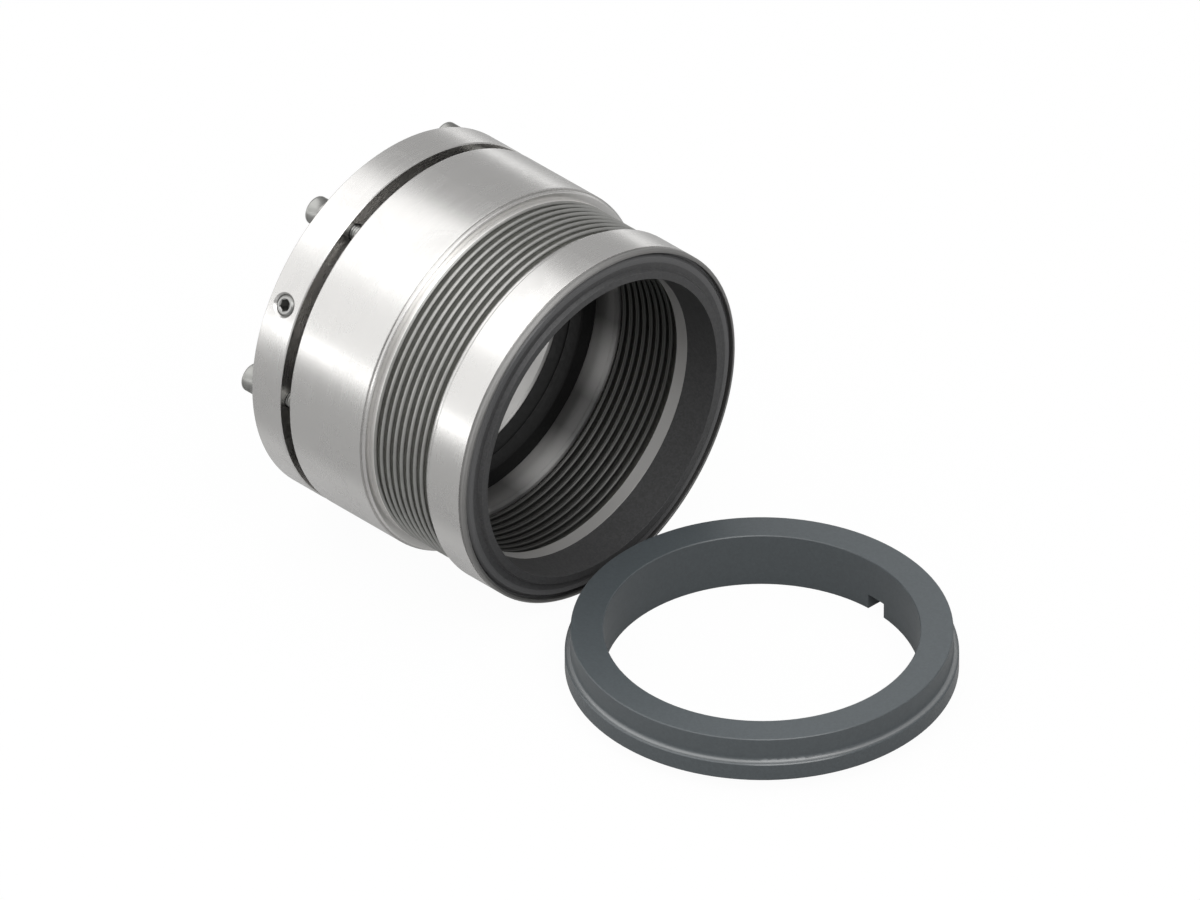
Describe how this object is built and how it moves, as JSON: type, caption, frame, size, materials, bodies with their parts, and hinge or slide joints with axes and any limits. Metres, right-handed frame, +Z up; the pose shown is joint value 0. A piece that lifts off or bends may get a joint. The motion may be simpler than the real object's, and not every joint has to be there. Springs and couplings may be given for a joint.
{
  "type": "component mechanical seal",
  "caption": "Face seal for a rotating shaft: a metal-bellows head with a sprung carbon face, and the hard ring that it runs on.",
  "frame": {"origin": "on the shaft's axis, in the back face of the drive collar", "axes": "+X along the shaft from the drive collar to the sealing face, +Z up. The head lies on its side and the mating ring lies flat in front of it."},
  "size_m": [0.1317, 0.0729, 0.072],
  "materials": {
    "polished_steel": "stainless steel, finely turned and polished",
    "screw_steel": "plain stainless screws",
    "dark_steel": "plain stainless set screws, darker in their sockets",
    "bellows_alloy": "thin nickel alloy plate with satin weld beads",
    "carbon": "resin-filled carbon, turned, with a lapped nose",
    "graphite": "pressed graphite, matt black",
    "silicon_carbide": "ground silicon carbide, slate grey with a low sheen"
  },
  "bodies": {
    "adapter": {"bellows_adapter": "polished_steel", "packing_ring_1": "graphite", "packing_ring_2": "graphite", "diaphragm_01": "bellows_alloy", "diaphragm_02": "bellows_alloy", "diaphragm_03": "bellows_alloy", "diaphragm_04": "bellows_alloy", "diaphragm_05": "bellows_alloy", "diaphragm_06": "bellows_alloy", "diaphragm_07": "bellows_alloy", "diaphragm_08": "bellows_alloy", "diaphragm_09": "bellows_alloy", "diaphragm_10": "bellows_alloy", "diaphragm_11": "bellows_alloy", "diaphragm_12": "bellows_alloy", "diaphragm_13": "bellows_alloy", "diaphragm_14": "bellows_alloy", "diaphragm_15": "bellows_alloy", "diaphragm_16": "bellows_alloy", "mating_ring": "silicon_carbide"},
    "face": {"face_holder": "polished_steel", "carbon_ring": "carbon"},
    "collar": {"drive_collar": "polished_steel", "cap_screw_1": "screw_steel", "cap_screw_2": "screw_steel", "cap_screw_3": "screw_steel", "cap_screw_4": "screw_steel", "cap_screw_5": "screw_steel", "cap_screw_6": "screw_steel"},
    "set_screw_1": {"set_screw_1": "dark_steel"},
    "set_screw_2": {"set_screw_2": "dark_steel"},
    "set_screw_3": {"set_screw_3": "dark_steel"}
  },
  "joints": [
    {"name": "face_slide", "type": "slide", "parent": "adapter", "child": "face", "axis": [-1, 0, 0], "range_m": [0, 0.004], "stiffness_N_per_m": 15000, "deforming": ["diaphragm_01", "diaphragm_02", "diaphragm_03", "diaphragm_04", "diaphragm_05", "diaphragm_06", "diaphragm_07", "diaphragm_08", "diaphragm_09", "diaphragm_10", "diaphragm_11", "diaphragm_12", "diaphragm_13", "diaphragm_14", "diaphragm_15", "diaphragm_16"]},
    {"name": "clamp_slide", "type": "slide", "parent": "adapter", "child": "collar", "axis": [1, 0, 0], "range_m": [0, 0.0015], "deforming": ["packing_ring_1", "packing_ring_2"]},
    {"name": "set_screw_1_travel", "type": "slide", "parent": "collar", "child": "set_screw_1", "axis": [0, -0.866, -0.5], "range_m": [0, 0.0015]},
    {"name": "set_screw_2_travel", "type": "slide", "parent": "collar", "child": "set_screw_2", "axis": [0, 0.866, -0.5], "range_m": [0, 0.0015]},
    {"name": "set_screw_3_travel", "type": "slide", "parent": "collar", "child": "set_screw_3", "axis": [0, 0, 1], "range_m": [0, 0.0015]}
  ]
}
